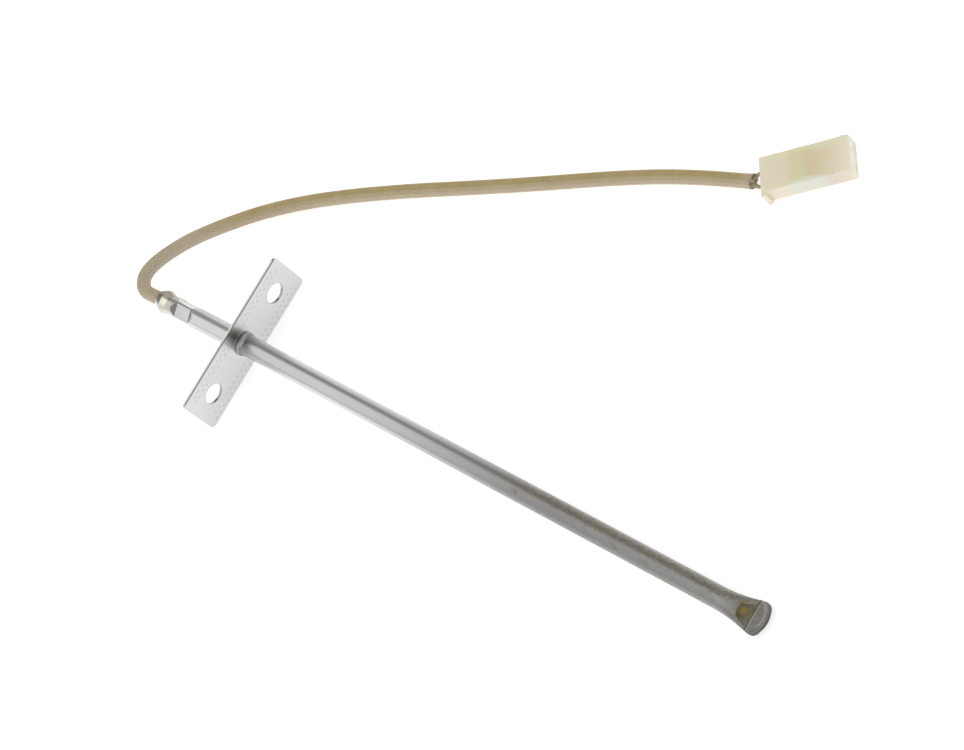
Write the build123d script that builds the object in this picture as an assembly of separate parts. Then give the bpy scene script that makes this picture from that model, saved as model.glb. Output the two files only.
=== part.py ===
from build123d import *
import math
import os

# Oven temperature sensor probe, in millimetres.
# The origin is on the front face of the mounting plate, on the sheath's axis.
# +X runs along the sheath to its tip, +Y along the plate, +Z across the plate.

OVERCUT = 0.1            # how far a cutting shape reaches past the face that it opens
OVERLAP = 0.2            # how far an added shape is sunk into its body

# ---- sheath tube ----
TUBE_OD = 6.35
TUBE_WALL = 0.5
TUBE_R = TUBE_OD / 2
BORE_R = TUBE_R - TUBE_WALL
TIP_X = 191.5            # end of the pinched tip
TAPER_X = 175.0          # where the round tube starts to flatten

# ---- belled mouth, its lip closed in again over the sleeve ----
MOUTH_X = -34.2          # rim
LIP_R = 2.75             # outside radius at the rim
BELL_R = 3.6             # widest radius
BELL_X = -31.9
NECK_R = 2.98            # radius between the bell and the crimp
NECK_X = -30.0
LIP_MIDDLE = (1.2, 0.6)      # middle of the curve from rim to crest: length, share of the rise
SHOULDER_MIDDLE = (1.0, 0.6)  # middle of the curve from crest to neck: length, share of the fall

# ---- formed beads that trap the plate ----
BEAD_R = 3.72
BEAD_CREST_X = 0.55
BEAD_ROOT_R = 3.5        # at the plate's face
BEAD_LENGTH = 2.2
REAR_BEAD_R = 3.55
REAR_BEAD_LENGTH = 1.8
REAR_BEAD_LAND = 0.3     # flat part of the rear bead, against the plate

# ---- square crimp that grips the sleeve ----
CRIMP_FLATS = 4
CRIMP_R = 2.45           # axis to each flat, outside
CRIMP_START_X = -26.0
CRIMP_END_X = -20.7
CRIMP_RAMP = 1.8         # length of the slope at each end of a flat
CRIMP_RISE = 0.75        # height of that slope
CRIMP_TURN = -23.0       # angle of the first flat from +Z towards +Y

# ---- mounting plate ----
PLATE_LENGTH = 50.8
PLATE_WIDTH = 17.8
PLATE_THICKNESS = 0.8
PLATE_CORNER_R = 1.5
PLATE_EDGE_ROLL = 0.25   # rounding of the front face's outer edge, left by the press
HOLE_SPACING = 34.0
HOLE_R = 3.2
PLATE_BORE_GAP = 0.02    # plate's centre hole over the tube's radius

# ---- the surface that the probe lies on ----
# It touches the plate's lower long edge and the round tube just before the tip.
REST_Z = -PLATE_WIDTH / 2
REST_SLOPE = (-TUBE_R - REST_Z) / TAPER_X

# ---- wires and sleeve ----
SLEEVE_OD = 4.3
SLEEVE_ID = 3.0
SLEEVE_TAIL_X = -16.0    # inner end of the sleeve, past the crimp
SLEEVE_LIFT = SLEEVE_OD / 2 + 0.05
WIRE_OD = 1.1
CONDUCTOR_OD = 0.6
WIRE_SIDE = 0.7          # each wire's distance from the sleeve's centre
WIRE_TIP_SIDE = 1.15     # the same at the splices
STRIP_X = 151.5          # front end of the wires' insulation
CONDUCTOR_END_X = 154.0

# ---- sensing element ----
FERRULE_START_X = 152.0
FERRULE_LENGTH = 5.0
FERRULE_OD = 1.3
SPLICE_SLEEVE_START_X = 150.5
SPLICE_SLEEVE_LENGTH = 8.0
SPLICE_SLEEVE_OD = 1.9
SPLICE_SLEEVE_ID = 1.34
RTD_LEAD_R = 0.15
RTD_LEAD_START_X = 155.0
RTD_LEAD_STRAIGHT = 4.0  # length inside the ferrule and just past it
RTD_X = 164.0
RTD_LENGTH = 4.0
RTD_WIDTH = 2.2
RTD_THICKNESS = 0.65
RTD_LEAD_SIDE = 0.55
RTD_LEAD_OVERLAP = 1.2   # length of each lead lying on the chip
RTD_LEAD_RUN_IN = 1.2    # level length ahead of the chip
GLASS_THICKNESS = 0.5
GLASS_LENGTH = 2.0
GLASS_MARGIN = 0.1       # bare chip round the glass
GLASS_EDGE_R = 0.2
PACKING_START_X = 149.0
PACKING_END_X = 173.0
PACKING_R = BORE_R - 0.03
PACKING_WIRE_GAP = 0.02

# ---- connector ----
HOUSING_LENGTH = 26.4
HOUSING_WIDTH = 11.0
HOUSING_HEIGHT = 6.2
HOUSING_EDGE = 0.25
HOUSING_AT = (120.82, 107.20)   # centre of the rear face, seen from above
HOUSING_YAW = 37.3
CAVITY_PITCH = 5.08
CAVITY_SIZE = 4.2
CAVITY_CORNER_R = 0.6
NECK_BORE_R = 1.75       # round waist inside each cavity
REAR_CAVITY_LENGTH = 9.0
WAIST_LENGTH = 3.4
RAMP_HEIGHT = 1.05
RAMP_LENGTH = 2.8
RAMP_WIDTH = 4.0
RAMP_STEP = 0.2          # how far the latching face leans back
RIB_HEIGHT = 1.2
RIB_LENGTH = 1.4
RIB_EDGE_R = 0.3

# ---- terminals, measured from the housing's rear face ----
WIRE_STRAIGHTENS = 0.4   # distance behind that face where the wires turn into line
INSULATION_END = 4.6
INSULATION_CRIMP = (1.6, 4.2)
CONDUCTOR_CRIMP = (5.0, 7.8)
TERMINAL_BODY = (8.6, 20.4)
INSULATION_CRIMP_R = 0.85
CONDUCTOR_CRIMP_R = 0.55
TERMINAL_R = 1.2
TERMINAL_BORE_R = 0.9
TERMINAL_BORE_DEPTH = 9.0
TANG_GAP = 0.2           # between the cavity's waist and the tangs
TANG_LENGTH = 2.2
TANG_RISE = 0.7
TANG_WIDTH = 0.6
STRAP_WIDTH = 1.0
STRAP_THICKNESS = 0.35
STRAP_OVERLAP = 0.5


def resting(x, y, lift):
    """A point at height lift over the surface that the probe lies on."""
    return Vector(x, y, REST_Z + REST_SLOPE * x + lift)


# The cord's route: level out of the mouth, round a tight bend, down to the surface and along it.
CORD_ROUTE = [
    Vector(-29.6, 0.0, 0.0),
    Vector(-35.8, -0.1, 0.0),
    Vector(-41.9, -0.4, -0.2),
    Vector(-45.3, 4.2, -0.6),
    Vector(-43.0, 12.0, -1.2),
    Vector(-36.2, 23.3, -2.6),
    resting(-20.3, 41.8, SLEEVE_LIFT),
    resting(7.5, 57.6, SLEEVE_LIFT),
    resting(48.0, 76.2, SLEEVE_LIFT),
    resting(82.0, 93.0, SLEEVE_LIFT),
    resting(102.5, 101.2, SLEEVE_LIFT),
    resting(117.2, 105.6, SLEEVE_LIFT),
]


CORNER_SHARE = 0.45      # part of the shorter run that a corner's arc takes up


def corner_radii(points):
    """Largest smooth radius at each corner of a route."""
    radii = []
    for before, corner, after in zip(points, points[1:], points[2:]):
        run_in = corner - before
        run_out = after - corner
        half_turn = math.radians(run_in.get_angle(run_out)) / 2
        shorter = min(run_in.length, run_out.length)
        radii.append(CORNER_SHARE * shorter / math.tan(half_turn))
    return radii


def smooth_path(points):
    return FilletPolyline(*points, radius=corner_radii(points))


def sweep_round(path, radius):
    """A round bar along a path."""
    section = Plane(origin=path @ 0, z_dir=path % 0) * Circle(radius)
    return sweep(section, path=path)


def beside(points, offset):
    """The route shifted sideways, to the left of its direction, in the level plane."""
    shifted = []
    for index, point in enumerate(points):
        run_in = points[index] - points[index - 1] if index else points[1] - points[0]
        run_out = points[index + 1] - point if index + 1 < len(points) else run_in
        flat_in = Vector(run_in.X, run_in.Y, 0).normalized()
        flat_out = Vector(run_out.X, run_out.Y, 0).normalized()
        middle = (flat_in + flat_out).normalized()
        reach = offset / math.cos(math.radians(flat_in.get_angle(middle)))
        shifted.append(point + Vector(-middle.Y, middle.X, 0) * reach)
    return shifted


def turned(outline):
    """A solid of revolution about the X axis, from a closed outline in the XY plane."""
    return revolve(make_face(outline), axis=Axis.X)


def rod_x(radius, start, end, y=0.0, z=0.0):
    return Plane.YZ.offset(start) * Pos(y, z, 0) * extrude(Circle(radius), end - start)


def tube_x(outer, inner, start, end, y=0.0, z=0.0):
    return rod_x(outer, start, end, y, z) - rod_x(inner, start - OVERCUT, end + OVERCUT, y, z)


# ---- sheath ----

def flattened_width(height):
    """Half width of the tube's flattened section, which keeps the round tube's girth."""
    return height + (math.pi * TUBE_R - math.pi * height) / 2


SECTION_ROUNDNESS = 0.995   # share of a full half circle at the flattened section's ends


def taper(stations, inset):
    """The part of the tube that narrows in height and widens, through sections along X."""
    sections = []
    for x, height in stations:
        half_width = flattened_width(height) - inset
        half_height = height - inset
        corner = min(half_width, half_height) * SECTION_ROUNDNESS
        profile = RectangleRounded(2 * half_width, 2 * half_height, corner)
        sections.append(Plane.YZ.offset(x) * profile)
    return loft(sections)


def crimped(body, flat_r):
    """Press flats into a round body, each with a slope at both ends."""
    top = flat_r + CRIMP_RISE
    profile = Polyline(
        (CRIMP_START_X - CRIMP_RAMP, top),
        (CRIMP_START_X, flat_r),
        (CRIMP_END_X, flat_r),
        (CRIMP_END_X + CRIMP_RAMP, top),
        close=True,
    )
    tool = Plane.XZ * extrude(make_face(profile), TUBE_OD / 2, both=True)
    for index in range(CRIMP_FLATS):
        angle = CRIMP_TURN + index * 360 / CRIMP_FLATS
        body = body - Rot(-angle, 0, 0) * tool
    return body


def bell_outline(inset):
    """The mouth's profile from its rim to the neck, set in from the outside surface."""
    lip = LIP_R - inset
    crest = BELL_R - inset
    neck = NECK_R - inset
    rising = (MOUTH_X + LIP_MIDDLE[0], lip + LIP_MIDDLE[1] * (crest - lip))
    falling = (BELL_X + SHOULDER_MIDDLE[0], crest - SHOULDER_MIDDLE[1] * (crest - neck))
    return [
        ThreePointArc((MOUTH_X, lip), rising, (BELL_X, crest)),
        ThreePointArc((BELL_X, crest), falling, (NECK_X, neck)),
        Line((NECK_X, neck), (CRIMP_START_X, TUBE_R - inset)),
    ]


def sheath_outside():
    rear_bead_x = -PLATE_THICKNESS - REAR_BEAD_LENGTH
    land_x = -PLATE_THICKNESS - REAR_BEAD_LAND
    outline = Curve() + [
        Line((MOUTH_X, 0), (MOUTH_X, LIP_R)),
        *bell_outline(0),
        Line((CRIMP_START_X, TUBE_R), (rear_bead_x, TUBE_R)),
        Line((rear_bead_x, TUBE_R), (land_x, REAR_BEAD_R)),
        Line((land_x, REAR_BEAD_R), (-PLATE_THICKNESS, REAR_BEAD_R)),
        Line((-PLATE_THICKNESS, REAR_BEAD_R), (-PLATE_THICKNESS, TUBE_R)),
        Line((-PLATE_THICKNESS, TUBE_R), (0, TUBE_R)),
        Line((0, TUBE_R), (0, BEAD_ROOT_R)),
        TangentArc((BEAD_CREST_X, BEAD_R), (0, BEAD_ROOT_R), tangent=(-1, 0)),
        TangentArc((BEAD_LENGTH, TUBE_R), (BEAD_CREST_X, BEAD_R), tangent=(-1, 0)),
        Line((BEAD_LENGTH, TUBE_R), (TAPER_X, TUBE_R)),
        Line((TAPER_X, TUBE_R), (TAPER_X, 0)),
        Line((TAPER_X, 0), (MOUTH_X, 0)),
    ]
    return crimped(turned(outline), CRIMP_R)


def sheath_bore():
    start_x = MOUTH_X - OVERCUT
    outline = Curve() + [
        Line((start_x, 0), (start_x, LIP_R - TUBE_WALL)),
        Line((start_x, LIP_R - TUBE_WALL), (MOUTH_X, LIP_R - TUBE_WALL)),
        *bell_outline(TUBE_WALL),
        Line((CRIMP_START_X, BORE_R), (TAPER_X, BORE_R)),
        Line((TAPER_X, BORE_R), (TAPER_X, 0)),
        Line((TAPER_X, 0), (start_x, 0)),
    ]
    return crimped(turned(outline), CRIMP_R - TUBE_WALL)


# half height of the flattened tube at stations along it
OUTER_STATIONS = [
    (TAPER_X, TUBE_R),
    (178.0, 3.02),
    (180.0, 2.72),
    (182.0, 2.30),
    (184.0, 1.70),
    (185.8, 1.00),
    (187.0, 0.76),
]
INNER_STATIONS = OUTER_STATIONS[:-2]
TAB_THICKNESS = 1.12
TAB_RIM_THICKNESS = 0.86
TAB_RIM_WIDTH = 1.15     # how far the thinner rim reaches in from the end
TAB_END_R = 6.83         # radius of the bowed end
TAB_START_X = OUTER_STATIONS[-1][0]
TAB_ROOT_X = TAB_START_X - 0.3     # sunk into the flattened tube
TAB_ROOT_INSET = 0.06
# half of the tab's outline, from its shoulder round the corner
TAB_SHOULDER = (TAB_START_X + 0.9, 4.78)
TAB_CORNER = (TIP_X - 1.7, 4.45)
TAB_CORNER_END = (TIP_X - 0.85, 3.3)
TAB_EDGE_R = 0.3
HOLLOW_R = 16.0
HOLLOW_DEPTH = 0.32
HOLLOW_AT = (185.3, 1.22)  # a point of the flattened surface, X and Z
HOLLOW_SLOPE = 0.38        # how steeply that surface falls there


def tip_tab():
    """The pinched end: a flat tab with a bowed edge and rounded corners."""
    root = (TAB_ROOT_X, flattened_width(TAB_THICKNESS / 2) - TAB_ROOT_INSET)
    left = [root, TAB_SHOULDER, TAB_CORNER, TAB_CORNER_END]
    right = [(x, -y) for x, y in left]
    outline = Curve() + [
        Line(right[0], right[1]),
        ThreePointArc(*right[1:]),
        ThreePointArc(right[3], (TIP_X, 0), left[3]),
        ThreePointArc(*reversed(left[1:])),
        Line(left[1], left[0]),
        Line(left[0], right[0]),
    ]
    rim = extrude(make_face(outline), TAB_RIM_THICKNESS / 2, both=True)
    flat_edges = rim.edges().filter_by(Axis.Z, reverse=True)
    rim = fillet(flat_edges.filter_by_position(Axis.X, TIP_X - 1, TIP_X + 1), TAB_EDGE_R)
    inner_end = Pos(TIP_X - TAB_END_R, 0, 0) * Cylinder(TAB_END_R - TAB_RIM_WIDTH, TAB_THICKNESS)
    return rim + (extrude(make_face(outline), TAB_THICKNESS / 2, both=True) & inner_end)


def pinch_hollow(up):
    """The ball-shaped hollow that the pinch leaves ahead of the tab, on the upper or lower side."""
    surface_x, surface_z = HOLLOW_AT
    slope = math.atan(HOLLOW_SLOPE)
    reach = HOLLOW_R - HOLLOW_DEPTH
    ball_x = surface_x + reach * math.sin(slope)
    ball_z = surface_z + reach * math.cos(slope)
    ahead = Pos(TAB_START_X - TUBE_OD, 0, 0) * Box(2 * TUBE_OD, 2 * TUBE_OD, 2 * TUBE_OD)
    return Pos(ball_x, 0, up * ball_z) * Sphere(HOLLOW_R) & ahead


def sheath_tube():
    outside = sheath_outside() + taper(OUTER_STATIONS, 0)
    for up in (-1, 1):
        outside = outside - pinch_hollow(up)
    outside = outside + tip_tab()
    return outside - sheath_bore() - taper(INNER_STATIONS, TUBE_WALL)


# ---- plate ----

def mounting_plate():
    blank = Plane.YZ * extrude(RectangleRounded(PLATE_LENGTH, PLATE_WIDTH, PLATE_CORNER_R), -PLATE_THICKNESS)
    blank = fillet(blank.edges().group_by(Axis.X)[-1], PLATE_EDGE_ROLL)
    blank = blank - rod_x(TUBE_R + PLATE_BORE_GAP, -PLATE_THICKNESS - 1, 1)
    for side in (-1, 1):
        blank = blank - rod_x(HOLE_R, -PLATE_THICKNESS - 1, 1, y=side * HOLE_SPACING / 2)
    return blank


# ---- sensing element ----

def rtd_substrate():
    return Pos(RTD_X + RTD_LENGTH / 2, 0, 0) * Box(RTD_LENGTH, RTD_WIDTH, RTD_THICKNESS)


def rtd_lead(side):
    z = RTD_THICKNESS / 2 + RTD_LEAD_R
    start = Vector(RTD_LEAD_START_X, side * WIRE_TIP_SIDE, 0)
    bend = Vector(RTD_LEAD_START_X + RTD_LEAD_STRAIGHT, side * WIRE_TIP_SIDE, 0)
    landing = Vector(RTD_X - RTD_LEAD_RUN_IN, side * RTD_LEAD_SIDE, z)
    end = Vector(RTD_X + RTD_LEAD_OVERLAP, side * RTD_LEAD_SIDE, z)
    return sweep_round(smooth_path([start, bend, landing, end]), RTD_LEAD_R)


def rtd_glass_cover(leads):
    centre = Vector(RTD_X + GLASS_LENGTH / 2 + GLASS_MARGIN, 0, RTD_THICKNESS / 2 + GLASS_THICKNESS / 2)
    bead = Pos(*centre) * Box(GLASS_LENGTH, RTD_WIDTH - 2 * GLASS_MARGIN, GLASS_THICKNESS)
    bead = fillet(bead.edges().group_by(Axis.Z)[-1], GLASS_EDGE_R)
    for lead in leads:
        bead = bead - lead
    return bead


def splice_ferrule(side, core):
    """A solid barrel crimped on a wire's core at one end and an element lead at the other."""
    y = side * WIRE_TIP_SIDE
    barrel = rod_x(FERRULE_OD / 2, FERRULE_START_X, FERRULE_START_X + FERRULE_LENGTH, y=y)
    lead_side = rod_x(RTD_LEAD_R, RTD_LEAD_START_X, FERRULE_START_X + FERRULE_LENGTH + OVERCUT, y=y)
    return barrel - core - lead_side


def splice_sleeve(side):
    end = SPLICE_SLEEVE_START_X + SPLICE_SLEEVE_LENGTH
    y = side * WIRE_TIP_SIDE
    return tube_x(SPLICE_SLEEVE_OD / 2, SPLICE_SLEEVE_ID / 2, SPLICE_SLEEVE_START_X, end, y=y)


def tip_packing(inside):
    body = rod_x(PACKING_R, PACKING_START_X, PACKING_END_X)
    splice_start = SPLICE_SLEEVE_START_X
    splice_end = splice_start + SPLICE_SLEEVE_LENGTH
    for side in (-1, 1):
        y = side * WIRE_TIP_SIDE
        body = body - rod_x(SPLICE_SLEEVE_OD / 2, splice_start, splice_end, y=y)
        body = body - rod_x(WIRE_OD / 2 + PACKING_WIRE_GAP, PACKING_START_X - 1, splice_start, y=y)
    for piece in inside:
        body = body - piece
    return body


# ---- connector ----

def housing_plane():
    """The housing's own frame: X along it, Z away from the surface that it lies on."""
    x, y = HOUSING_AT
    yaw = math.radians(HOUSING_YAW)
    ahead = Vector(math.cos(yaw), math.sin(yaw), REST_SLOPE * math.cos(yaw))
    up = Vector(-REST_SLOPE, 0, 1)
    return Plane(origin=resting(x, y, HOUSING_HEIGHT / 2), x_dir=ahead, z_dir=up)


def cavity(side):
    """One stepped passage through the housing, in the housing's own frame."""
    y = side * CAVITY_PITCH / 2
    square = RectangleRounded(CAVITY_SIZE, CAVITY_SIZE, CAVITY_CORNER_R)
    waist_end = REAR_CAVITY_LENGTH + WAIST_LENGTH
    rear = Plane.YZ * Pos(y, 0, -OVERCUT) * extrude(square, REAR_CAVITY_LENGTH + OVERCUT)
    waist = rod_x(NECK_BORE_R, REAR_CAVITY_LENGTH - OVERCUT, waist_end + OVERCUT, y=y)
    front = Plane.YZ * Pos(y, 0, waist_end) * extrude(square, HOUSING_LENGTH - waist_end + OVERCUT)
    return rear + waist + front


def latch_ramp():
    """A wedge on the housing's left flank that falls away towards the front."""
    foot = HOUSING_WIDTH / 2
    front = HOUSING_LENGTH
    profile = Polyline(
        (front, foot - OVERLAP),
        (front, foot),
        (front - RAMP_LENGTH, foot + RAMP_HEIGHT),
        (front - RAMP_LENGTH - RAMP_STEP, foot - OVERLAP),
        close=True,
    )
    return extrude(make_face(profile), RAMP_WIDTH / 2, both=True)


def end_rib():
    """A square rib across the rear end of the housing's right flank."""
    y = -HOUSING_WIDTH / 2 - RIB_HEIGHT / 2 + OVERLAP / 2
    rib = Pos(RIB_LENGTH / 2, y, 0) * Box(RIB_LENGTH, RIB_HEIGHT + OVERLAP, HOUSING_HEIGHT)
    return fillet(rib.edges().filter_by(Axis.Z).group_by(Axis.Y)[0], RIB_EDGE_R)


def connector_housing():
    block = Pos(HOUSING_LENGTH / 2, 0, 0) * Box(HOUSING_LENGTH, HOUSING_WIDTH, HOUSING_HEIGHT)
    block = fillet(block.edges(), HOUSING_EDGE)
    block = block + latch_ramp() + end_rib()
    for side in (-1, 1):
        block = block - cavity(side)
    return housing_plane() * block


def terminal(side):
    """A crimp contact: insulation crimp, conductor crimp, socket barrel and two locking tangs."""
    y = side * CAVITY_PITCH / 2
    body = tube_x(INSULATION_CRIMP_R, WIRE_OD / 2, *INSULATION_CRIMP, y=y)
    body = body + tube_x(CONDUCTOR_CRIMP_R, CONDUCTOR_OD / 2, *CONDUCTOR_CRIMP, y=y)
    barrel_start, barrel_end = TERMINAL_BODY
    barrel = rod_x(TERMINAL_R, barrel_start, barrel_end, y=y)
    barrel = barrel - rod_x(TERMINAL_BORE_R, barrel_end - TERMINAL_BORE_DEPTH, barrel_end + OVERCUT, y=y)
    strap_top = -CONDUCTOR_OD / 2
    strap_start = INSULATION_CRIMP[1] - STRAP_OVERLAP
    strap_length = barrel_start + STRAP_OVERLAP - strap_start
    strap_at = Pos(strap_start + strap_length / 2, y, strap_top - STRAP_THICKNESS / 2)
    strap = strap_at * Box(strap_length, STRAP_WIDTH, STRAP_THICKNESS)
    strap = strap - rod_x(WIRE_OD / 2, INSULATION_CRIMP[0], INSULATION_END, y=y)
    body = body + barrel + strap
    tang_x = REAR_CAVITY_LENGTH + WAIST_LENGTH + TANG_GAP
    for up in (-1, 1):
        tang_profile = Polyline(
            (tang_x, TERMINAL_R - OVERLAP),
            (tang_x, TERMINAL_R + TANG_RISE),
            (tang_x + TANG_LENGTH, TERMINAL_R - OVERLAP),
            close=True,
        )
        tang = Plane.XZ * extrude(make_face(tang_profile), TANG_WIDTH / 2, both=True)
        tang = tang if up > 0 else mirror(tang, Plane.XY)
        body = body + Pos(0, y, 0) * tang
    return housing_plane() * body


# ---- wires and sleeve ----

def wire_path(side, bare_front=0.0, bare_rear=0.0):
    """One wire's line from the splice, through the sleeve, to its terminal.

    The bare lengths carry it straight on past the two ends of the insulation.
    """
    frame = housing_plane()
    y = side * CAVITY_PITCH / 2
    start = Vector(STRIP_X, -side * WIRE_TIP_SIDE, 0)
    entry = frame.from_local_coords(Vector(-WIRE_STRAIGHTENS, y, 0))
    end = frame.from_local_coords(Vector(INSULATION_END, y, 0))
    route = [start] + beside(CORD_ROUTE, side * WIRE_SIDE) + [entry, end]
    radii = corner_radii(route)
    route[0] = start + (start - route[1]).normalized() * bare_front
    route[-1] = end + (end - entry).normalized() * bare_rear
    return FilletPolyline(*route, radius=radii)


def lead_insulation(side):
    path = wire_path(side)
    return sweep_round(path, WIRE_OD / 2) - sweep_round(path, CONDUCTOR_OD / 2)


def conductor(side):
    path = wire_path(side, CONDUCTOR_END_X - STRIP_X, CONDUCTOR_CRIMP[1] - INSULATION_END)
    return sweep_round(path, CONDUCTOR_OD / 2)


def braided_sleeve(sheath):
    path = smooth_path(CORD_ROUTE)
    outside = sweep_round(path, SLEEVE_OD / 2)
    inside = sweep_round(path, SLEEVE_ID / 2)
    start = CORD_ROUTE[0].X
    outside = outside + rod_x(SLEEVE_OD / 2, start, SLEEVE_TAIL_X)
    inside = inside + rod_x(SLEEVE_ID / 2, start, SLEEVE_TAIL_X + OVERCUT)
    return outside - inside - sheath


if __name__ == "__main__":
    os.makedirs("parts", exist_ok=True)
    sheath = sheath_tube()
    leads = {"a": rtd_lead(-1), "b": rtd_lead(1)}
    chip = rtd_substrate()
    glass = rtd_glass_cover(leads.values())
    parts = {
        "sheath_tube": sheath,
        "mounting_plate": mounting_plate(),
        "rtd_substrate": chip,
        "rtd_glass_cover": glass,
        "tip_packing": tip_packing([chip, glass, *leads.values()]),
        "braided_sleeve": braided_sleeve(sheath),
        "connector_housing": connector_housing(),
    }
    for name, side in (("a", 1), ("b", -1)):
        core = conductor(side)
        parts[f"rtd_lead_{name}"] = leads[name]
        parts[f"splice_ferrule_{name}"] = splice_ferrule(-side, core)
        parts[f"splice_sleeve_{name}"] = splice_sleeve(-side)
        parts[f"lead_insulation_{name}"] = lead_insulation(side)
        parts[f"conductor_{name}"] = core
        parts[f"terminal_{name}"] = terminal(side)
    for name, shape in parts.items():
        export_step(shape, f"parts/{name}.step")

    for radius in corner_radii(CORD_ROUTE):
        print(f"cord corner radius {radius:.1f} mm, {radius / SLEEVE_OD:.1f} diameters")
    length = smooth_path(CORD_ROUTE).length
    print(f"cord length {length:.1f} mm")
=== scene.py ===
import bisect
import math
import random

import bpy
from mathutils import Matrix, Vector


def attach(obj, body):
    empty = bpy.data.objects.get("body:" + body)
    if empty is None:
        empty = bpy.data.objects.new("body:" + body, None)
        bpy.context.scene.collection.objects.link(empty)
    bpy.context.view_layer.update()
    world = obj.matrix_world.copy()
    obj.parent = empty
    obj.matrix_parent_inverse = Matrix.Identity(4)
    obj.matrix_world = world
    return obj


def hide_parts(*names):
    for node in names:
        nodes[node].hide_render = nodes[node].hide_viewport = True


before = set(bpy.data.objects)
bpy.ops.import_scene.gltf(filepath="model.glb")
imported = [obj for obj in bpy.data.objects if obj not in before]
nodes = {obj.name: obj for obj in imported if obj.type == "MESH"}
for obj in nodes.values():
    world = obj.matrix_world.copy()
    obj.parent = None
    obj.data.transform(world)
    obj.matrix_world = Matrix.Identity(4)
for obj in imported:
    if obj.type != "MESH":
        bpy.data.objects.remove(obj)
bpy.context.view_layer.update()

MM = 0.001

# Sizes and places are in mm and angles in degrees, in the part's frame: the origin is on the plate's
# front face, on the sheath's axis, +X points to the tip and +Y to the left.

# ---- sheath, as in part.py ----
TUBE_R = 3.175
TAPER_X = 175.0          # where the round tube starts to flatten
TAB_START_X = 187.0      # where the flattened tube ends and the tab begins
TIP_X = 191.5
TAB_END_R = 6.83         # radius of the tab's bowed end
TAB_CENTRE = (TIP_X - TAB_END_R, 0.0, 0.0)
CRIMP_R = 2.45           # axis to each flat of the crimp
CRIMP_START_X = -26.0
CRIMP_RAMP = 1.8         # length of the slope at each end of a flat
CRIMP_RISE = 0.75        # height of that slope
CRIMP_SLOPE = CRIMP_RISE / CRIMP_RAMP
CRIMP_LEAN = 23.0        # angle from +Z towards -Y of the upper flat

# ---- plate, as in part.py ----
PLATE_HALF_LENGTH = 25.4
PLATE_HALF_WIDTH = 8.9
HOLE_SIDE = 17.0         # distance of each screw hole from the sheath's axis
HOLE_R = 3.2

# ---- the surface that the probe lies on, at the plate's long edge and the end of the round tube ----
REST_Z = -PLATE_HALF_WIDTH
REST_SLOPE = (-TUBE_R - REST_Z) / TAPER_X

# ---- connector housing, as in part.py ----
HOUSING_AT = (120.82, 107.20)
HOUSING_YAW = 37.3
HOUSING_LENGTH = 26.4
HOUSING_HALF_WIDTH = 5.5
HOUSING_HEIGHT = 6.2
CAVITY_HALF_SIZE = 2.1
CAVITY_SIDE = 2.54       # distance of each cavity from the housing's middle

# ---- marks, which are only painted ----
PAINTED_LIGHT_START_X = -1.0    # behind the plate the tube has a painted highlight and a painted shaded line
HOLLOW_X = 183.2         # narrow end of the brown triangle, painted shade over a stain, in the hollow before the tab
GOLD_SPOT = (184.2, -0.2, 1.5)
DASH_PITCH = 2.0         # punched dashes along the plate's long edges
DASH_HALF_LENGTH = 0.5
DASH_HALF_WIDTH = 0.35
DASH_ROWS = (6.7, 5.15, -5.4, -7.4)
RUST_SPOT = (0.0, 0.15, 4.77)
# centre of the painted dark reflection of the sheath on the plate
TUBE_REFLECTION_CENTRE = (0.0, 0.6, 4.4)
SPECK_AT = (21.1, -5.2)  # dark speck: distance along the housing and across it

# ---- sleeve ----
SLEEVE_LIFT = 2.2        # height of its middle above the surface
CORE_R = 1.88
BRAID_R = 1.97           # middle radius of the braid
BRAID_WAVE = 0.085       # how far a yarn rises and dips as it crosses the others
YARN_HALF_WIDTH = 0.29
YARN_HALF_THICKNESS = 0.09
YARN_SECTION = [(1.0, 0.0), (0.55, 0.85), (-0.55, 0.85), (-1.0, 0.0), (-0.55, -0.85), (0.55, -0.85)]
CARRIERS = 20            # yarns running each way
BRAID_PITCH = 25.0       # length of one turn of a yarn
BRAID_STEP = 0.42        # distance between sections along a yarn
FLARE = 0.22             # how far the sleeve opens at its loose end
FLARE_LENGTH = 3.0       # length of the part that opens
FRAY_HAIRS = 70          # loose filaments at the sleeve's cut end
FRAY_REACH = 0.6         # how far the braid stands past the end of its lining
FRAY_SLANT = 0.35        # how much further it stands on its left side
HAIR_R = 0.05
HAIR_SECTIONS = 4
HAIR_SIDES = 3


def resting(x, y, lift):
    """A point raised above the surface that the probe lies on."""
    return (x, y, REST_Z + REST_SLOPE * x + lift)


# the cord's route, as in part.py
CORD_ROUTE = [
    (-29.6, 0.0, 0.0),
    (-35.8, -0.1, 0.0),
    (-41.9, -0.4, -0.2),
    (-45.3, 4.2, -0.6),
    (-43.0, 12.0, -1.2),
    (-36.2, 23.3, -2.6),
    resting(-20.3, 41.8, SLEEVE_LIFT),
    resting(7.5, 57.6, SLEEVE_LIFT),
    resting(48.0, 76.2, SLEEVE_LIFT),
    resting(82.0, 93.0, SLEEVE_LIFT),
    resting(102.5, 101.2, SLEEVE_LIFT),
    resting(117.2, 105.6, SLEEVE_LIFT),
]


# ======================= shader graphs =======================

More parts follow.
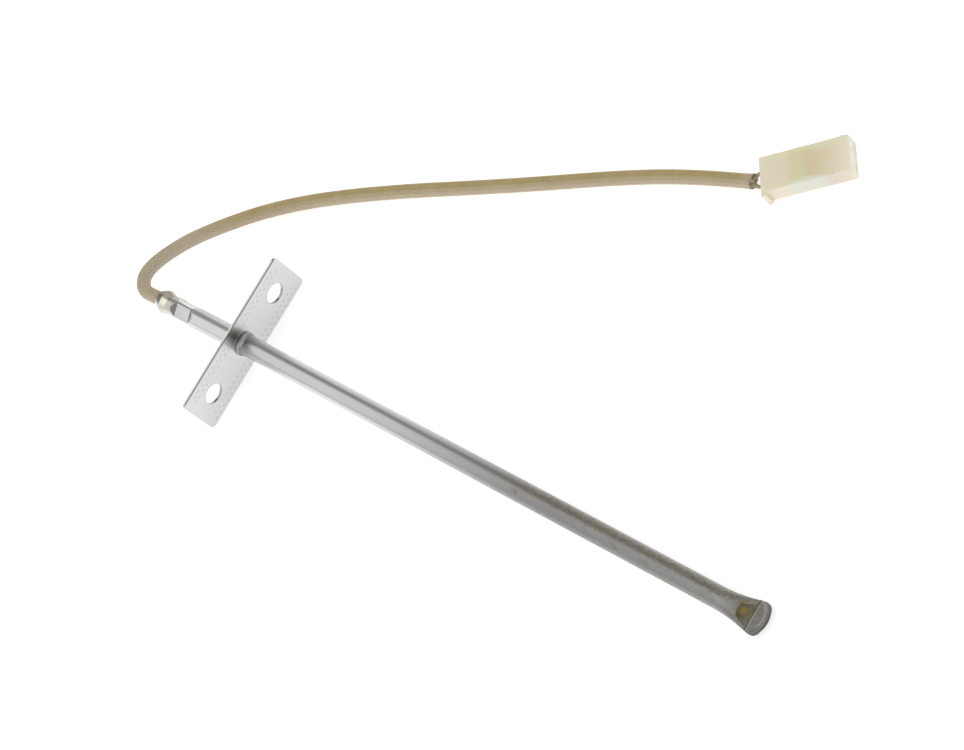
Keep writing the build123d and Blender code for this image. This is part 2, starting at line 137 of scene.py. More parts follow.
class Graph:
    """Short calls that add and link shader nodes in one tree."""

    def __init__(self, tree):
        self.tree = tree

    def add(self, kind, inputs=(), **settings):
        node = self.tree.nodes.new(kind)
        for key, value in settings.items():
            setattr(node, key, value)
        for socket, value in dict(inputs).items():
            if isinstance(value, bpy.types.NodeSocket):
                self.tree.links.new(value, node.inputs[socket])
            else:
                node.inputs[socket].default_value = value
        return node

    def coordinates(self, kind):
        return self.add("ShaderNodeTexCoord").outputs[kind]

    def vectors(self, operation, first, second=(0, 0, 0)):
        node = self.add("ShaderNodeVectorMath", {0: first, 1: second}, operation=operation)
        return node.outputs["Vector"]

    def dot(self, vector, direction):
        inputs = {0: vector, 1: direction}
        return self.add("ShaderNodeVectorMath", inputs, operation="DOT_PRODUCT").outputs["Value"]

    def distance(self, vector, point, scale=(1, 1, 1)):
        """Distance from a point; a scale of 0 leaves that axis out."""
        away = self.vectors("MULTIPLY", self.vectors("SUBTRACT", vector, point), scale)
        return self.add("ShaderNodeVectorMath", {0: away}, operation="LENGTH").outputs["Value"]

    def maths(self, operation, first, second=0.0):
        return self.add("ShaderNodeMath", {0: first, 1: second}, operation=operation).outputs[0]

    def product(self, first, *others):
        for factor in others:
            first = self.maths("MULTIPLY", first, factor)
        return first

    def total(self, first, *others):
        for term in others:
            first = self.maths("ADD", first, term)
        return first

    def minus(self, first, second):
        return self.maths("SUBTRACT", first, second)

    def apart(self, value, centre=0.0):
        """How far a value is from a centre, on either side."""
        return self.maths("ABSOLUTE", self.minus(value, centre))

    def span(self, value, low, high, out_low=0.0, out_high=1.0):
        """A soft step, from one output at the value low to the other at high."""
        inputs = {0: value, 1: low, 2: high, 3: out_low, 4: out_high}
        return self.add("ShaderNodeMapRange", inputs, interpolation_type="SMOOTHSTEP").outputs[0]

    def band(self, value, start, full, full_end, end):
        """1 between the two middle values, fading to 0 at the outer two."""
        return self.product(self.span(value, start, full), self.span(value, end, full_end))

    def mix(self, factor, first, second):
        """The first colour where the factor is 0 and the second where it is 1."""
        first, second = (c if isinstance(c, bpy.types.NodeSocket) else (*c, 1) for c in (first, second))
        return self.add("ShaderNodeMix", {0: factor, 6: first, 7: second}, data_type="RGBA").outputs[2]

    def ramp(self, value, *stops):
        """A colour ramp; each stop is (position, colour)."""
        node = self.add("ShaderNodeValToRGB", {0: value})
        points = node.color_ramp.elements
        while len(points) < len(stops):
            points.new(0.5)
        for point, (at, colour) in zip(points, stops):
            point.position = at
            point.color = (*colour, 1)
        return node.outputs[0]


class Surface(Graph):
    """A material under construction, with its base colour and the position on the object in mm."""

    def __init__(self, name, rough=0.5, metal=0.0):
        self.material = bpy.data.materials.new(name)
        self.material.use_nodes = True
        super().__init__(self.material.node_tree)
        self.shader = self.tree.nodes["Principled BSDF"]
        self.set("Roughness", rough)
        self.set("Metallic", metal)
        self.at = self.vectors("MULTIPLY", self.coordinates("Object"), (1 / MM, 1 / MM, 1 / MM))
        self.x, self.y, self.z = self.add("ShaderNodeSeparateXYZ", {0: self.at}).outputs
        self.base = None

    def set(self, socket, value):
        self.shader.inputs[socket].default_value = value

    def link(self, source, socket):
        self.tree.links.new(source, self.shader.inputs[socket])

    def noise(self, scale, detail=3.0, rough=0.6, stretch=(1, 1, 1)):
        vector = self.vectors("MULTIPLY", self.at, stretch)
        inputs = {"Vector": vector, "Scale": scale, "Detail": detail, "Roughness": rough}
        return self.add("ShaderNodeTexNoise", inputs).outputs["Fac"]

    def tint(self, colour, *factors):
        """Lay a colour over the base, as strongly as the product of the factors."""
        self.base = self.mix(self.product(*factors), self.base, colour)

    def bump(self, height, strength, distance_mm):
        inputs = {"Height": height, "Strength": strength, "Distance": distance_mm * MM}
        self.link(self.add("ShaderNodeBump", inputs).outputs[0], "Normal")

    def finished(self):
        self.link(self.base, "Base Color")
        return self.material


# ======================= camera, floor and light =======================

# ---- camera, fitted to the photo ----
CAMERA_AT = Vector((618.16, -75.31, 828.61)) * MM
CAMERA_RIGHT = Vector((0.74524, 0.5125, -0.42657))
CAMERA_UP = Vector((-0.38434, 0.85292, 0.35327))
CAMERA_LENS = 133.74
SENSOR_WIDTH = 36.0

# ---- studio ----
FLOOR_HALF = 2500.0
FLOOR_GAP = 0.03         # between the floor and what rests on it
FLOOR_GREY = 0.86
FLOOR_GLOW = 0.56
SKY_BRIGHT = 0.95
SKY_HORIZON = 0.68
SKY_RISE = 0.25          # height of the direction at which the tent is fully bright
# dark parts of the studio: direction, angles where the shade is full and where it ends, depth
DARK_PARTS = [
    ((-0.57, 0.56, 0.60), 10, 26, 0.76),
    ((-0.95, -0.10, 0.22), 20, 37, 0.80),
    ((-0.545, -0.83, 0.06), 8, 26, 0.18),
    ((0.62, -0.02, 0.78), 20, 40, 0.80),
    ((1.0, 0.35, 0.1), 30, 70, 0.40),
]
LAMP_AT = Vector((250.0, -350.0, 1500.0)) * MM
LAMP_AIM = Vector((50.0, 50.0, 0.0)) * MM
LAMP_SIZE = 1600.0
LAMP_POWER = 2.5


def add_camera():
    data = bpy.data.cameras.new("camera")
    data.sensor_width = SENSOR_WIDTH
    data.lens = CAMERA_LENS
    data.clip_start = 0.01
    camera = bpy.data.objects.new("camera", data)
    back = CAMERA_RIGHT.cross(CAMERA_UP)
    turn = Matrix((CAMERA_RIGHT, CAMERA_UP, back)).transposed().to_4x4()
    camera.matrix_world = Matrix.Translation(CAMERA_AT) @ turn
    bpy.context.scene.collection.objects.link(camera)
    bpy.context.scene.camera = camera


def add_lamp():
    """A wide, weak lamp overhead."""
    data = bpy.data.lights.new("overhead", "AREA")
    data.shape = "RECTANGLE"
    data.size = data.size_y = LAMP_SIZE * MM
    data.energy = LAMP_POWER
    lamp = bpy.data.objects.new("overhead", data)
    lamp.location = LAMP_AT
    lamp.rotation_euler = (LAMP_AIM - LAMP_AT).to_track_quat("-Z", "Y").to_euler()
    bpy.context.scene.collection.objects.link(lamp)


def add_floor():
    half = FLOOR_HALF * MM
    corners = [(-half, -half, 0), (half, -half, 0), (half, half, 0), (-half, half, 0)]
    mesh = bpy.data.meshes.new("floor")
    mesh.from_pydata(corners, [], [(0, 1, 2, 3)])
    floor = bpy.data.objects.new("floor", mesh)
    floor.rotation_euler = (0, -math.atan(REST_SLOPE), 0)
    floor.location = (0, 0, (REST_Z - FLOOR_GAP) * MM)
    bpy.context.scene.collection.objects.link(floor)
    s = Surface("floor", rough=0.9)
    s.set("Base Color", (FLOOR_GREY, FLOOR_GREY, FLOOR_GREY, 1))
    s.set("Specular IOR Level", 0.1)
    s.set("Emission Color", (1, 1, 1, 1))
    s.set("Emission Strength", FLOOR_GLOW)
    mesh.materials.append(s.material)


def add_world():
    """An even white tent, dimmer near the floor, with a few soft dark parts."""
    world = bpy.data.worlds.new("studio")
    world.use_nodes = True
    g = Graph(world.node_tree)
    direction = g.coordinates("Generated")
    level = g.span(g.dot(direction, (0, 0, 1)), 0.0, SKY_RISE, SKY_HORIZON, SKY_BRIGHT)
    for centre, full, ends, depth in DARK_PARTS:
        toward = g.dot(direction, Vector(centre).normalized())
        limits = math.cos(math.radians(ends)), math.cos(math.radians(full))
        level = g.product(level, g.span(toward, *limits, 1.0, 1.0 - depth))
    background = world.node_tree.nodes["Background"]
    world.node_tree.links.new(level, background.inputs["Color"])
    bpy.context.scene.world = world


# ======================= sheath =======================

def tint_rear_tube(s):
    """Painted highlight on the metal behind the plate, with painted shade along a line on its left side.
    """
    behind = s.span(s.x, PAINTED_LIGHT_START_X, PAINTED_LIGHT_START_X - 1.5)
    crown_highlight = s.band(s.y, -2.9, -1.8, 1.6, 2.6)
    # painted highlight along the top of the tube behind the plate
    s.tint((0.78, 0.775, 0.76), behind, crown_highlight, s.span(s.x, -27.0, -19.0, 0.25, 1.0))
    # painted shade along the tube's left side
    s.tint((0.42, 0.415, 0.40), behind, s.span(s.y, 2.4, 3.0), 0.55)


def tint_bell(s):
    """A straw colour all round from heat, a painted dark reflection as a brown band on the left, and a
    painted cream highlight on the crest beside it.
    """
    straw = s.span(s.noise(0.8, 2.0, 0.55, (0.8, 0.4, 0.4)), 0.42, 0.6)
    s.tint((0.74, 0.62, 0.36), s.band(s.x, -33.0, -31.5, -29.5, -27.5), straw, 0.38)
    turn = s.maths("ARCTAN2", s.y, s.z)
    # painted dark reflection: a brown band on the bell's left side
    s.tint((0.28, 0.23, 0.17), s.band(turn, 0.02, 0.22, 0.90, 1.20), s.span(s.x, -28.4, -30.4), 0.70)
    # painted highlight along the crest
    crest_highlight = s.product(s.band(turn, -0.50, -0.22, 0.02, 0.14), s.band(s.x, -32.6, -31.8, -27.0, -26.3))
    s.tint((0.90, 0.82, 0.64), crest_highlight, 0.6)


def paint_bead_shade(s):
    """Painted shade in the crease at the plate and over the bead, fading along the tube."""
    # painted shade in the crease between the bead and the plate
    s.tint((0.24, 0.237, 0.23), s.band(s.x, -0.2, -0.1, 1.0, 2.7), 0.65)
    # painted shade fading along the tube away from the plate
    s.tint((0.25, 0.247, 0.24), s.band(s.x, 0.6, 1.2, 2.6, 7.0), 0.52)


def paint_crimp_shade(s):
    """Painted shade on the slope behind the upper flat: the points that lie on the slope's own plane."""
    lean = math.radians(CRIMP_LEAN)
    height = s.dot(s.at, (CRIMP_SLOPE, -math.sin(lean), math.cos(lean)))
    off = s.apart(height, CRIMP_R + CRIMP_SLOPE * CRIMP_START_X)
    behind = s.span(s.x, CRIMP_START_X + 0.1, CRIMP_START_X - 0.1)
    # painted shade on the crimp's rear slope
    s.tint((0.13, 0.125, 0.115), s.span(off, 0.10, 0.05), behind, 0.9)


def tint_hot_half(s, speck, blotch):
    """Fine scale, then a speckled stain that is thickest on the left shoulder. Returns the stain."""
    scale = s.noise(2.6, 3.0, 0.7)
    hot = s.span(s.x, 60.0, 150.0)
    s.tint((0.18, 0.178, 0.165), hot, s.span(scale, 0.50, 0.66, 0.0, 0.30))
    s.tint((0.50, 0.495, 0.48), hot, s.span(scale, 0.50, 0.34, 0.0, 0.30))
    left_side = s.band(s.y, -0.4, 0.9, 2.0, 2.9)
    shoulder = s.product(left_side, s.span(speck, 0.42, 0.58), s.span(s.x, 85.0, 115.0))
    around = s.product(s.span(blotch, 0.55, 0.70), s.span(s.x, 60.0, 130.0))
    stain = s.maths("MAXIMUM", shoulder, around)
    s.tint((0.22, 0.175, 0.065), stain, 0.6)
    return stain


def tint_hollow(s, speck, blotch):
    """The hollow before the tab: painted shade, a brown triangle of painted shade over a stain with a
    painted highlight on one yellow edge, and a golden spot.
    """
    # painted shade in the hollow before the tab
    s.tint((0.18, 0.176, 0.16), s.band(s.x, 176.0, 182.5, TAB_START_X - 0.05, TAB_START_X + 0.1), 0.55)
    patch = s.product(s.span(s.x, 180.5, 183.0, 0.0, 0.8), s.span(s.apart(s.y), 3.4, 1.2))
    patch = s.product(patch, s.span(speck, 0.46, 0.58), s.span(s.x, 191.0, 186.0, 0.15, 0.75))
    s.tint((0.27, 0.215, 0.05), patch)
    ahead = s.minus(s.x, HOLLOW_X)
    left = s.minus(s.y, s.product(ahead, 0.6))
    right = s.minus(s.product(s.y, -1.0), s.product(ahead, 0.45))
    triangle = s.product(s.span(left, 1.7, 1.3), s.span(right, 2.8, 2.2), s.span(ahead, -0.4, 0.3))
    triangle = s.product(triangle, s.span(s.x, TAB_START_X, TAB_START_X - 0.2))
    # the brown triangle: painted shade of the hollow over a brown stain
    s.tint((0.14, 0.118, 0.065), triangle, s.span(blotch, 0.35, 0.65, 0.35, 0.75))
    edge = s.product(s.span(s.apart(left, 1.6), 0.42, 0.18), s.band(ahead, -0.2, 0.4, 3.0, 3.5))
    # painted highlight, tinted yellow, along the ridge at the triangle's left edge
    s.tint((0.44, 0.38, 0.20), edge, s.span(speck, 0.40, 0.60, 0.15, 0.75))
    gold = s.span(s.distance(s.at, GOLD_SPOT), 1.5, 0.5)
    s.tint((0.42, 0.31, 0.05), gold, s.span(speck, 0.36, 0.56, 0.3, 0.85))


def tint_tab(s, speck, tab):
    """A painted highlight and painted shade either side of the crease at the tab's root, a rub beside its
    rim and a darker rim.
    """
    past = s.minus(s.x, TAB_START_X)
    crease_highlight = s.band(past, -0.05, 0.10, 0.30, 0.50)
    # painted highlight on the tab side of the crease
    s.tint((0.40, 0.395, 0.375), crease_highlight, s.span(speck, 0.35, 0.60, 0.25, 0.6))
    # painted shade on the hollow side of the crease
    s.tint((0.07, 0.065, 0.05), s.band(past, -0.45, -0.25, -0.08, 0.02), 0.6)
    reach = s.distance(s.at, TAB_CENTRE)
    s.tint((0.42, 0.415, 0.40), s.band(reach, 5.0, 5.35, 5.75, 6.1), tab, s.span(s.y, -3.2, -1.0), 0.6)
    s.tint((0.14, 0.138, 0.13), s.span(reach, 6.3, 6.7), tab)


def steel_tube():
    """Drawn stainless tube, clean at the plate and darkened by heat towards the tip."""
    s = Surface("stainless_tube", metal=1.0)
    draw_lines = s.noise(1.6, 4.0, stretch=(0.02, 1.6, 1.6))
    blotch = s.noise(0.9, 5.0, 0.7, (0.35, 1.0, 1.0))
    speck = s.noise(1.3, 4.0, 0.7, (0.6, 1.4, 1.4))
    clean = s.mix(draw_lines, (0.62, 0.615, 0.61), (0.72, 0.715, 0.71))
    used = s.mix(draw_lines, (0.27, 0.266, 0.257), (0.35, 0.346, 0.336))
    s.base = s.mix(s.span(s.x, 30.0, 125.0), clean, used)
    tint_rear_tube(s)
    tint_bell(s)
    paint_bead_shade(s)
    paint_crimp_shade(s)
    stain = tint_hot_half(s, speck, blotch)
    tab = s.span(s.x, TAB_START_X - 0.1, TAB_START_X + 0.2)
    s.tint(s.mix(speck, (0.16, 0.159, 0.152), (0.25, 0.248, 0.24)), tab, 0.85)
    tint_hollow(s, speck, blotch)
    tint_tab(s, speck, tab)
    rough = s.total(s.span(s.x, 20.0, 130.0, 0.25, 0.36), s.product(blotch, 0.08), s.product(stain, 0.12))
    s.link(rough, "Roughness")
    s.bump(s.total(draw_lines, s.product(blotch, 0.6)), 0.25, 0.04)
    return s.finished()


# ======================= plate =======================

def punched_row(s, row_z, phase):
    """A row of short dashes along the plate, at an even pitch, between the sheath and the ends."""
    along = s.maths("FLOORED_MODULO", s.total(s.y, phase), DASH_PITCH)
    length = s.span(s.apart(along, DASH_PITCH / 2), DASH_HALF_LENGTH, DASH_HALF_LENGTH - 0.2)
    width = s.span(s.apart(s.z, row_z), DASH_HALF_WIDTH, DASH_HALF_WIDTH - 0.15)
    return s.product(length, width, s.band(s.apart(s.y), 3.4, 3.5, 22.3, 22.4))


def tint_plate_edges(s):
    """Painted shade along the rolled upper edge, and a painted highlight on the edges where the sheet was
    cut.
    """
    rolled_edge_shade = s.span(s.z, PLATE_HALF_WIDTH - 0.34, PLATE_HALF_WIDTH - 0.22)
    # painted shade along the rolled upper edge
    s.tint((0.16, 0.15, 0.12), rolled_edge_shade, s.span(s.x, -0.26, -0.22), 0.70)
    long_edges = s.span(s.apart(s.z), PLATE_HALF_WIDTH - 0.10, PLATE_HALF_WIDTH - 0.02)
    short_edges = s.span(s.apart(s.y), PLATE_HALF_LENGTH - 0.10, PLATE_HALF_LENGTH - 0.02)
    # painted highlight on the plate's edge faces
    s.tint((0.76, 0.75, 0.69), s.maths("MAXIMUM", long_edges, short_edges), s.span(s.x, -0.22, -0.30))


def tint_holes(s):
    """Painted shade on the holes' walls and a painted dark ring round them."""
    mirrored = s.vectors("ABSOLUTE", s.at)
    radius = s.distance(mirrored, (0.0, HOLE_SIDE, 0.0), (0, 1, 1))
    wall_shade = s.product(s.span(radius, HOLE_R + 0.03, HOLE_R + 0.01), s.span(s.x, -0.78, -0.70))
    # painted shade on the holes' walls
    s.tint((0.46, 0.46, 0.45), wall_shade)
    # painted shade in a ring round each hole
    rim_shade = s.product(s.span(radius, HOLE_R + 0.25, HOLE_R + 0.05), s.span(s.x, -0.16, -0.12))
    s.tint((0.22, 0.22, 0.21), rim_shade, 0.45)


def plate_steel():
    """Plain sheet steel with rows of punched dashes, a rust spot and a painted dark reflection of the
    sheath round it.
    """
    s = Surface("steel_plate", metal=1.0)
    fine = s.noise(2.2, 4.0, stretch=(1.0, 0.25, 2.0))
    s.base = s.mix(s.noise(0.14, 3.0, 0.5), (0.63, 0.63, 0.63), (0.69, 0.69, 0.69))
    s.tint((0.58, 0.58, 0.58), fine, 0.5)
    front = s.span(s.x, -0.3, -0.2)
    rows = [punched_row(s, z, DASH_PITCH / 2 * (index % 2)) for index, z in enumerate(DASH_ROWS)]
    marks = s.product(s.total(*rows), front)
    s.tint((0.36, 0.36, 0.36), marks, 0.45)
    rust = s.span(s.distance(s.at, RUST_SPOT, (0, 1, 1)), 0.7, 0.15)
    s.tint((0.45, 0.22, 0.06), rust, front, 0.7)
    # painted reflection: the sheath's dark mirror image on the plate, round the sheath
    tube_reflection = s.span(s.distance(s.at, TUBE_REFLECTION_CENTRE, (0, 1, 0.85)), 5.2, 1.2, 0.0, 0.45)
    s.tint((0.26, 0.26, 0.255), tube_reflection)
    tint_plate_edges(s)
    tint_holes(s)
    s.link(s.total(s.product(fine, 0.10), 0.17), "Roughness")
    s.bump(s.minus(s.product(fine, 0.5), s.product(marks, 1.5)), 0.3, 0.04)
    return s.finished()


# ======================= connector =======================

def tint_upper_face(s, share, across):
    """A pale patch along the right edge, widest near the middle, and a yellower wedge on the left."""
    bow = s.product(s.apart(share, 0.48), 6.0)
    patch = s.product(s.span(s.total(across, bow), -3.2, -4.2), s.band(share, 0.28, 0.36, 0.70, 0.78))
    s.tint((0.86, 0.88, 0.76), patch, 0.75)
    peak = s.product(s.apart(share, 0.72), -6.0)
    wedge = s.product(s.span(s.total(across, peak), 2.6, 3.4), s.span(share, 0.46, 0.52))
    s.tint((0.88, 0.85, 0.61), wedge, 0.65)


def shade_side_faces(s, share, along, across):
    """Painted shade on the right flank, the front face and the rear end, each with a tint of its own."""
    flank_shade = s.span(across, 0.20 - HOUSING_HALF_WIDTH, 0.08 - HOUSING_HALF_WIDTH)
    flank_shade_tint = s.ramp(
        share,
        (0.28, (0.78, 0.71, 0.62)),
        (0.36, (0.69, 0.69, 0.61)),
        (0.64, (0.69, 0.69, 0.61)),
        (0.72, (0.64, 0.57, 0.51)),
    )
    # painted shade on the right flank
    s.tint(flank_shade_tint, flank_shade, 0.65)
    front = s.span(along, HOUSING_LENGTH - 0.20, HOUSING_LENGTH - 0.08)
    # painted shade on the front face
    s.tint((0.70, 0.69, 0.61), front, 0.75)
    # painted shade at the rear end
    s.tint((0.74, 0.77, 0.62), s.span(share, 0.035, 0.0, 0.0, 0.5))


def nylon():
    """Undyed nylon, greener over the cavities' waists, with painted shade that greys its right flank."""
    s = Surface("natural_nylon", rough=0.34)
    yaw = math.radians(HOUSING_YAW)
    rear = Vector((*HOUSING_AT, 0.0))
    ahead = Vector((math.cos(yaw), math.sin(yaw), 0.0))
    left = Vector((-math.sin(yaw), math.cos(yaw), 0.0))
    own = s.vectors("SUBTRACT", s.at, rear)
    along = s.dot(own, ahead)
    across = s.dot(own, left)
    cloud = s.noise(0.22, 4.0)
    drift = s.product(s.minus(cloud, 0.5), 3.0)
    share = s.maths("DIVIDE", s.total(along, drift), HOUSING_LENGTH)
    s.base = s.ramp(
        share,
        (0.00, (0.95, 0.83, 0.63)),
        (0.30, (0.93, 0.81, 0.59)),
        (0.36, (0.83, 0.78, 0.47)),
        (0.47, (0.82, 0.77, 0.46)),
        (0.53, (0.82, 0.69, 0.44)),
        (0.75, (0.88, 0.76, 0.54)),
        (1.00, (0.97, 0.87, 0.71)),
    )
    tint_upper_face(s, share, across)
    shade_side_faces(s, share, along, across)
    speck_at = rear + ahead * SPECK_AT[0] + left * SPECK_AT[1]
    s.tint((0.30, 0.26, 0.14), s.span(s.distance(s.at, speck_at, (1, 1, 0)), 0.24, 0.12, 0.0, 0.6))
    s.tint((0.86, 0.79, 0.64), s.span(cloud, 0.45, 0.7), 0.25)
    # painted glow: the whole housing gives off a faint light in its own colour, stronger in the cavities
    s.link(s.mix(0.9, s.base, (0.83, 0.84, 0.83)), "Emission Color")

    # painted light and glow in the cavities, standing in for light that has come through the walls
    height = s.apart(s.minus(s.z, s.product(s.x, REST_SLOPE)), REST_Z + HOUSING_HEIGHT / 2)
    upright = s.span(height, CAVITY_HALF_SIZE + 0.06, CAVITY_HALF_SIZE - 0.06)
    reach = CAVITY_SIDE + CAVITY_HALF_SIZE
    cavity_glow = s.product(upright, s.span(s.apart(across), reach + 0.06, reach - 0.06))
    cavity_glow = s.product(cavity_glow, s.span(along, HOUSING_LENGTH - 0.02, HOUSING_LENGTH - 0.5))
    s.tint((0.78, 0.81, 0.82), cavity_glow)
    s.link(s.total(s.product(cavity_glow, 0.25), 0.03), "Emission Strength")
    s.set("Subsurface Weight", 0.55)
    s.set("Subsurface Radius", (1.0, 0.85, 0.6))
    s.set("Subsurface Scale", 0.003)
    s.bump(s.noise(3.0, 3.0, 0.55), 0.08, 0.03)
    return s.finished()


# ======================= other materials =======================

def yarn(name, dark, light):
    """Varnished glass fibre, with painted light: deeper in colour on its upper left, paler and pinker
    below.
    """
    s = Surface(name, rough=0.42)
    facing = s.dot(s.coordinates("Normal"), Vector((-0.2, 0.72, 0.66)).normalized())
    fleck = s.noise(4.5)
    s.base = s.mix(s.span(s.noise(0.22), 0.3, 0.7), dark, light)
    # painted light: paler and pinker where the surface turns down and to the right
    s.tint((0.62, 0.52, 0.40), s.span(facing, 0.75, -0.1, 0.0, 0.8))
    s.tint((0.62, 0.54, 0.43), s.span(s.x, -26.0, -38.0, 0.0, 0.6))
    s.tint((0.66, 0.54, 0.42), s.span(s.x, 112.5, 116.5, 0.0, 0.55))
    amber = s.product(s.span(s.noise(1.3), 0.52, 0.68), s.span(facing, 0.3, 0.8))
    s.tint((0.50, 0.36, 0.05), amber, s.span(s.x, -30.0, -15.0), 0.55)
    s.tint((0.60, 0.51, 0.34), s.span(fleck, 0.5, 0.75), 0.3)
    s.set("Specular IOR Level", 0.6)
    s.set("Sheen Weight", 0.45)
    s.set("Sheen Roughness", 0.3)
    s.bump(fleck, 0.25, 0.04)
    return s.finished()


def plain(name, colour, rough, metal=0.0, second=None, scale=1.5, grain=0.1):
    """A simple material that varies between a colour and a second one, darker unless given."""
    s = Surface(name, rough=rough, metal=metal)
    value = s.noise(scale, 4.0)
    s.base = s.mix(value, colour, second or [0.8 * c for c in colour])
    s.bump(value, grain, 0.03)
    return s.finished()


# ======================= cord =======================

def route_curve(name, bevel_mm):
    data = bpy.data.curves.new(name, "CURVE")
    data.dimensions = "3D"
    data.resolution_u = 24
    spline = data.splines.new("NURBS")
    spline.points.add(len(CORD_ROUTE) - 1)
    for point, (x, y, z) in zip(spline.points, CORD_ROUTE):
        point.co = (x * MM, y * MM, z * MM, 1)
    spline.order_u = 3
    spline.use_endpoint_u = True
    data.bevel_depth = bevel_mm * MM
    data.bevel_resolution = 6
    data.use_fill_caps = bevel_mm > 0
    curve = bpy.data.objects.new(name, data)
    bpy.context.scene.collection.objects.link(curve)
    return curve


class Line:
    """The route's smooth line, with a steady frame at any distance along it, all in mm."""

    def __init__(self):
        guide = route_curve("route_guide", 0.0)
        bpy.context.view_layer.update()
        mesh = bpy.data.meshes.new_from_object(guide)
        self.points = [v.co / MM for v in mesh.vertices]
        bpy.data.objects.remove(guide)
        bpy.data.meshes.remove(mesh)
        self.starts = [0.0]
        for a, b in zip(self.points, self.points[1:]):
            self.starts.append(self.starts[-1] + (b - a).length)
        self.length = self.starts[-1]
        before = [self.points[0], *self.points[:-1]]
        after = [*self.points[1:], self.points[-1]]
        self.ahead = [(b - a).normalized() for a, b in zip(before, after)]
        side = Vector((0, 0, 1)).cross(self.ahead[0]).normalized()
        self.side = []
        for ahead in self.ahead:
            side = (side - ahead * side.dot(ahead)).normalized()
            self.side.append(side)

    def frame_at(self, distance):
        """Point, direction, side and up at a distance along the line."""
        distance = min(max(distance, 0.0), self.length)
        low = min(bisect.bisect_right(self.starts, distance), len(self.starts) - 1) - 1
        t = (distance - self.starts[low]) / (self.starts[low + 1] - self.starts[low])
        point = self.points[low].lerp(self.points[low + 1], t)
        ahead = self.ahead[low].lerp(self.ahead[low + 1], t).normalized()
        side = self.side[low].lerp(self.side[low + 1], t)
        side = (side - ahead * side.dot(ahead)).normalized()
        return point, ahead, side, ahead.cross(side)


def directions_round(side, up, angle):
    """The direction out from the cord at an angle, and the direction round the cord there."""
    out = side * math.cos(angle) + up * math.sin(angle)
    return out, up * math.cos(angle) - side * math.sin(angle)


def flare(distance, length, out):
    """How much wider the loose end of the sleeve is; its underside rests on the surface."""
    share = max(0.0, (distance - (length - FLARE_LENGTH)) / FLARE_LENGTH)
    return FLARE * share ** 2 * (1 + out.z) / 2


class Strands:
    """One mesh made of many closed strands."""

    def __init__(self):
        self.verts = []
        self.faces = []

    def add(self, rings):
        """A strand through rings of equally many points, closed at both ends."""
        first = len(self.verts)
        size = len(rings[0])
        last = first + size * (len(rings) - 1)
        for ring in rings:
            self.verts.extend(point * MM for point in ring)
        for start in range(first, last, size):
            for k in range(size):
                a, b = start + k, start + (k + 1) % size
                self.faces.append((a, b, b + size, a + size))
        self.faces.append([first + k for k in reversed(range(size))])
        self.faces.append([last + k for k in range(size)])

    def piece(self, name, material):
        mesh = bpy.data.meshes.new(name)
        mesh.from_pydata(self.verts, [], self.faces)
        mesh.materials.append(material)
        for polygon in mesh.polygons:
            polygon.use_smooth = True
        mesh.update()
        piece = bpy.data.objects.new(name, mesh)
        bpy.context.scene.collection.objects.link(piece)
        return piece


def yarn_ring(line, way, index, distance):
    """One section of a yarn that runs one way round, over two and under two of the others."""
    turns = index / CARRIERS + way * distance / BRAID_PITCH
    wave = math.sin(math.pi * turns * CARRIERS + math.pi / 4) * way
    point, ahead, side, up = line.frame_at(distance)
    out, sideways = directions_round(side, up, 2 * math.pi * turns)
    radius = BRAID_R + BRAID_WAVE * wave + flare(distance, line.length, out)
    lean = math.atan2(way * 2 * math.pi * radius, BRAID_PITCH)
    across = (sideways * math.cos(lean) - ahead * math.sin(lean)) * YARN_HALF_WIDTH
    thick = out * YARN_HALF_THICKNESS
    centre = point + out * radius + ahead * max(0.0, distance - line.length)
    return [centre + across * u + thick * v for u, v in YARN_SECTION]


def braid(line, way, material):
    """All the yarns that run one way round, each a flat ribbon with an end of its own length."""
    rng = random.Random(5 + way)
    strands = Strands()
    for index in range(CARRIERS):
        end_angle = 2 * math.pi * (index / CARRIERS + way * line.length / BRAID_PITCH)
        end = line.length + FRAY_REACH + rng.uniform(-0.25, 0.2) + FRAY_SLANT * math.cos(end_angle)
        steps = int(end / BRAID_STEP)
        strands.add([yarn_ring(line, way, index, end * step / steps) for step in range(steps + 1)])
    return strands.piece("braid_right" if way > 0 else "braid_left", material)


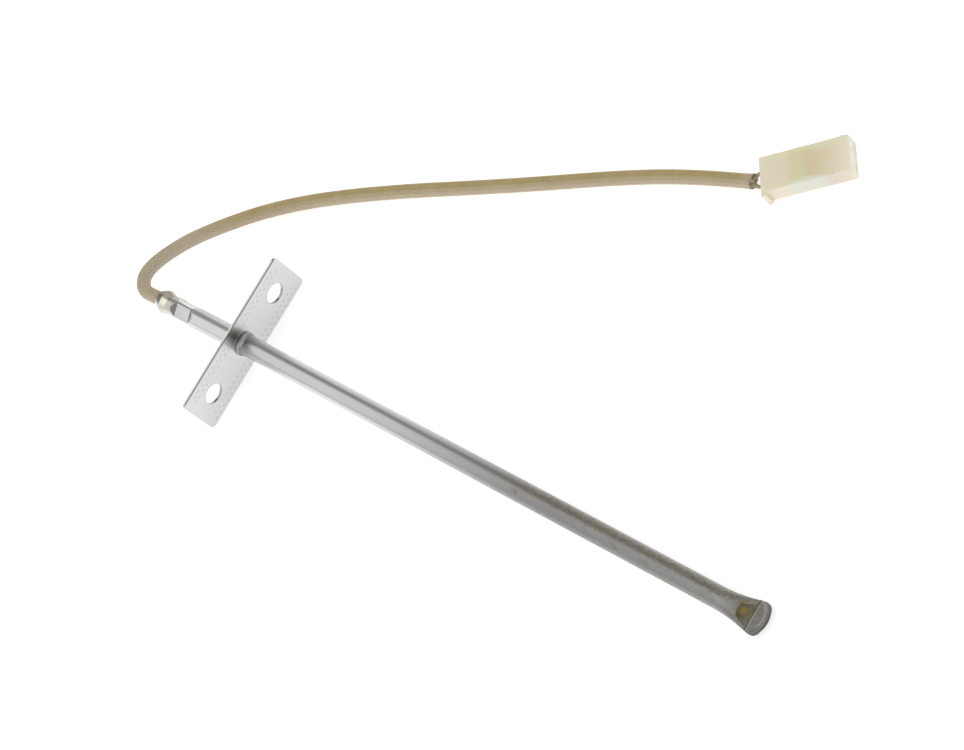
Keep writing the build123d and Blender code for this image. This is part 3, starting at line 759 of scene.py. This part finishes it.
def frayed_end(line, material):
    """Loose filaments that stand out from the sleeve's cut end."""
    rng = random.Random(23)
    strands = Strands()
    point, ahead, side, up = line.frame_at(line.length)
    corner_angles = [2 * math.pi * k / HAIR_SIDES for k in range(HAIR_SIDES)]
    for index in range(FRAY_HAIRS):
        angle = rng.uniform(0, 2 * math.pi)
        out, sideways = directions_round(side, up, angle)
        start = FRAY_REACH + FRAY_SLANT * math.cos(angle) - 1.0
        root = point + out * rng.uniform(1.5, 2.1) + ahead * start
        spread = rng.uniform(-0.05, 0.22) * (1 + out.z) / 2
        drift = sideways * rng.uniform(-0.3, 0.3)
        reach = rng.uniform(0.8, 1.6)
        rings = []
        for step in range(HAIR_SECTIONS):
            t = reach * step / (HAIR_SECTIONS - 1)
            centre = root + ahead * t + out * spread * t * t * 0.5 + drift * t
            thick = HAIR_R * (1 - 0.2 * step)
            rings.append([
                centre + (out * math.cos(a) + sideways * math.sin(a)) * thick for a in corner_angles
            ])
        strands.add(rings)
    return strands.piece("frayed_end", material)


# ======================= build =======================

def both(name):
    return [f"{name}_a", f"{name}_b"]


def paint(material, names):
    for name in names:
        data = nodes[name].data
        data.materials.clear()
        data.materials.append(material)


bpy.context.scene.view_settings.view_transform = "Standard"
add_camera()
add_floor()
add_world()
add_lamp()

fibre = yarn("glass_fibre_yarn", (0.46, 0.345, 0.085), (0.54, 0.415, 0.125))
pale_fibre = yarn("glass_fibre_yarn_pale", (0.50, 0.385, 0.14), (0.58, 0.455, 0.19))
core = route_curve("sleeve_core", CORE_R)
core.data.materials.append(fibre)
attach(core, "root")
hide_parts("braided_sleeve")
line = Line()
strands = [braid(line, 1, fibre), braid(line, -1, pale_fibre), frayed_end(line, pale_fibre)]
for strand in strands:
    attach(strand, "root")

wire = plain("wire_fibre", (0.30, 0.27, 0.17), 0.6, second=(0.42, 0.38, 0.27), scale=4.0, grain=0.5)
nickel = plain("nickel", (0.60, 0.58, 0.54), 0.3, 1.0)
tinned = plain("tinned_brass", (0.75, 0.70, 0.55), 0.3, 1.0)
ceramic = plain("ceramic", (0.85, 0.84, 0.80), 0.7)
glaze = plain("seal_glass", (0.30, 0.45, 0.60), 0.1)
paint(steel_tube(), ["sheath_tube"])
paint(plate_steel(), ["mounting_plate"])
paint(nylon(), ["connector_housing"])
paint(wire, both("lead_insulation"))
paint(nickel, both("conductor") + both("splice_ferrule") + both("rtd_lead"))
paint(tinned, both("terminal"))
paint(ceramic, ["rtd_substrate", "tip_packing"])
paint(fibre, both("splice_sleeve"))
paint(glaze, ["rtd_glass_cover"])
